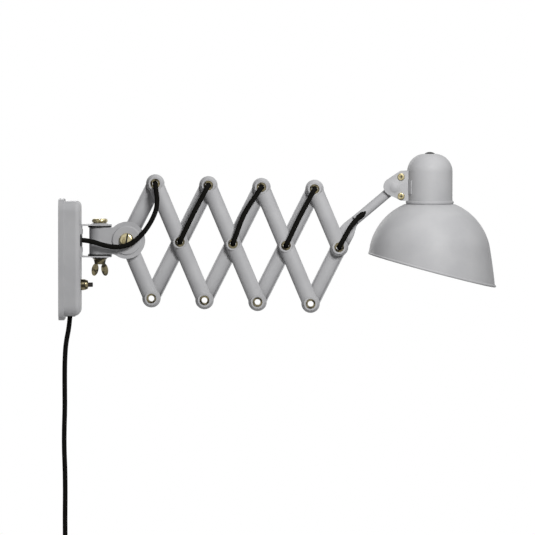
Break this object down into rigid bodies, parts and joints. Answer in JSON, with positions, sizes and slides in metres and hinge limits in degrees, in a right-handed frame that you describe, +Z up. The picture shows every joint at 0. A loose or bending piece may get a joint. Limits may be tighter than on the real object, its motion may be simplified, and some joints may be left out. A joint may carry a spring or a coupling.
{
  "type": "accordion wall lamp",
  "caption": "Wall lamp on an extending scissor arm of pressed channels with hollow rivets, with a swinging bracket, a braided cord threaded along the arm and a bell shade on a clamped ball.",
  "frame": {"origin": "centre of the back plate's wall face", "axes": "+X points straight out from the wall along the arm, +Z is up, and the scissor opens in the plane Y = 0"},
  "size_m": [0.7207, 0.212, 0.792],
  "materials": {
    "paint": "satin light grey enamel, slightly warm where it is worn",
    "brass": "aged brass, dull on flat faces and brighter on edges",
    "black_rubber": "matte black",
    "cord_braid": "black braided textile over a round lead",
    "dark_plastic": "dark brown-black moulded resin",
    "plated_steel": "dull zinc plating"
  },
  "bodies": {
    "wall_unit": {"back_plate": "paint", "wall_cover": "paint", "hinge_bracket": "paint", "bracket_rivets": "paint", "cover_screws": "brass", "switch_collar": "brass", "switch_body": "dark_plastic", "arm_cord_grommet": "black_rubber", "mains_cord_grommet": "black_rubber", "terminal_block": "dark_plastic", "hinge_bolt": "brass", "hinge_dishes": "paint", "hinge_washers": "black_rubber", "loop_cord_wall": "cord_braid", "mains_cord": "cord_braid", "mains_cord_coil": "cord_braid", "cord_tie": "black_rubber", "mains_plug": "black_rubber"},
    "wing_nut": {"wing_nut": "brass"},
    "switch_button": {"switch_button": "dark_plastic"},
    "knuckle": {"knuckle": "paint", "loop_cord_knuckle": "cord_braid"},
    "main_pivot": {"main_screw": "brass", "main_nut": "brass", "pivot_bushes": "brass"},
    "rear_0": {"rear_arm_0": "paint", "loop_cord_arm": "cord_braid"},
    "front_0": {"front_arm_0": "paint", "rivets_0": "brass"},
    "front_1": {"front_arm_1": "paint", "rivets_1": "brass", "rear_cord_1": "cord_braid"},
    "rear_1": {"rear_arm_1": "paint", "front_cord_1": "cord_braid"},
    "front_2": {"front_arm_2": "paint", "rivets_2": "brass", "rear_cord_2": "cord_braid"},
    "rear_2": {"rear_arm_2": "paint", "front_cord_2": "cord_braid"},
    "front_3": {"front_arm_3": "paint", "rivets_3": "brass", "rear_cord_3": "cord_braid"},
    "rear_3": {"rear_arm_3": "paint", "front_cord_3": "cord_braid"},
    "front_4": {"front_arm_4": "paint", "rivets_4": "brass", "rear_cord_4": "cord_braid"},
    "lamp_arm": {"lamp_arm": "paint", "lamp_tube": "paint", "lamp_cord": "cord_braid"},
    "ball": {"ball": "paint"},
    "shade": {"clamp_plate_front": "paint", "clamp_plate_rear": "paint", "clamp_screws": "brass", "neck_cap": "paint", "bell_shade": "paint", "vent_plug": "black_rubber", "lampholder": "dark_plastic", "gallery_plate": "plated_steel", "neck_cord": "cord_braid"}
  },
  "joints": [
    {"name": "swing", "type": "hinge", "parent": "wall_unit", "child": "knuckle", "pos_m": [0.067, 0, 0.0306], "axis": [0, 0, 1], "range_deg": [-80, 80], "deforming": ["loop_cord_wall"]},
    {"name": "boom_tilt", "type": "hinge", "parent": "knuckle", "child": "main_pivot", "pos_m": [0.1115, 0, 0.0317], "axis": [0, 1, 0], "range_deg": [-25, 25], "deforming": ["loop_cord_knuckle"]},
    {"name": "rear_0_turn", "type": "hinge", "parent": "main_pivot", "child": "rear_0", "pos_m": [0.1115, 0, 0.0317], "axis": [0, 1, 0], "range_deg": [-12.8, 27], "deforming": ["loop_cord_arm"]},
    {"name": "front_0_turn", "type": "hinge", "parent": "main_pivot", "child": "front_0", "pos_m": [0.1115, 0, 0.0317], "axis": [0, 1, 0], "range_deg": [-27, 12.8]},
    {"name": "front_1_turn", "type": "hinge", "parent": "rear_0", "child": "front_1", "pos_m": [0.15847, 0, 0.12494], "axis": [0, 1, 0], "range_deg": [-54, 25.6]},
    {"name": "rear_1_turn", "type": "hinge", "parent": "front_1", "child": "rear_1", "pos_m": [0.19903, 0, 0.02874], "axis": [0, 1, 0], "range_deg": [-25.6, 54]},
    {"name": "scissor_extend", "type": "hinge", "parent": "front_1", "child": "rear_2", "pos_m": [0.23959, 0, -0.06746], "axis": [0, 1, 0], "range_deg": [-25.6, 54]},
    {"name": "front_2_turn", "type": "hinge", "parent": "rear_2", "child": "front_2", "pos_m": [0.28656, 0, 0.02577], "axis": [0, 1, 0], "range_deg": [-54, 25.6]},
    {"name": "front_3_turn", "type": "hinge", "parent": "rear_2", "child": "front_3", "pos_m": [0.33354, 0, 0.119], "axis": [0, 1, 0], "range_deg": [-54, 25.6]},
    {"name": "rear_3_turn", "type": "hinge", "parent": "front_3", "child": "rear_3", "pos_m": [0.37409, 0, 0.0228], "axis": [0, 1, 0], "range_deg": [-25.6, 54]},
    {"name": "lamp_arm_turn", "type": "hinge", "parent": "front_3", "child": "lamp_arm", "pos_m": [0.41465, 0, -0.0734], "axis": [0, 1, 0], "range_deg": [-25.6, 54]},
    {"name": "front_4_turn", "type": "hinge", "parent": "lamp_arm", "child": "front_4", "pos_m": [0.46163, 0, 0.01984], "axis": [0, 1, 0], "range_deg": [-54, 25.6]},
    {"name": "shade_swivel", "type": "hinge", "parent": "lamp_arm", "child": "ball", "pos_m": [0.5531, 0, 0.1186], "axis": [0.766, 0, 0.6428], "range_deg": [-90, 90]},
    {"name": "shade_tilt", "type": "hinge", "parent": "ball", "child": "shade", "pos_m": [0.5531, 0, 0.1186], "axis": [0, 1, 0], "range_deg": [-68, 12], "deforming": ["neck_cord"]},
    {"name": "wing_nut_turn", "type": "hinge", "parent": "wall_unit", "child": "wing_nut", "pos_m": [0.067, 0, -0.01], "axis": [0, 0, 1], "range_deg": [-180, 0]},
    {"name": "switch_press", "type": "slide", "parent": "wall_unit", "child": "switch_button", "axis": [-1, 0, 0], "range_m": [0, 0.003], "stiffness_N_per_m": 600, "springref_m": -0.002}
  ],
  "couplings": [
    {"joint": "rear_0_turn", "follows": "scissor_extend", "ratio": 0.5},
    {"joint": "front_0_turn", "follows": "scissor_extend", "ratio": -0.5},
    {"joint": "front_1_turn", "follows": "scissor_extend", "ratio": -1},
    {"joint": "rear_1_turn", "follows": "scissor_extend", "ratio": 1},
    {"joint": "front_2_turn", "follows": "scissor_extend", "ratio": -1},
    {"joint": "front_3_turn", "follows": "scissor_extend", "ratio": -1},
    {"joint": "rear_3_turn", "follows": "scissor_extend", "ratio": 1},
    {"joint": "lamp_arm_turn", "follows": "scissor_extend", "ratio": 1},
    {"joint": "front_4_turn", "follows": "scissor_extend", "ratio": -1}
  ]
}
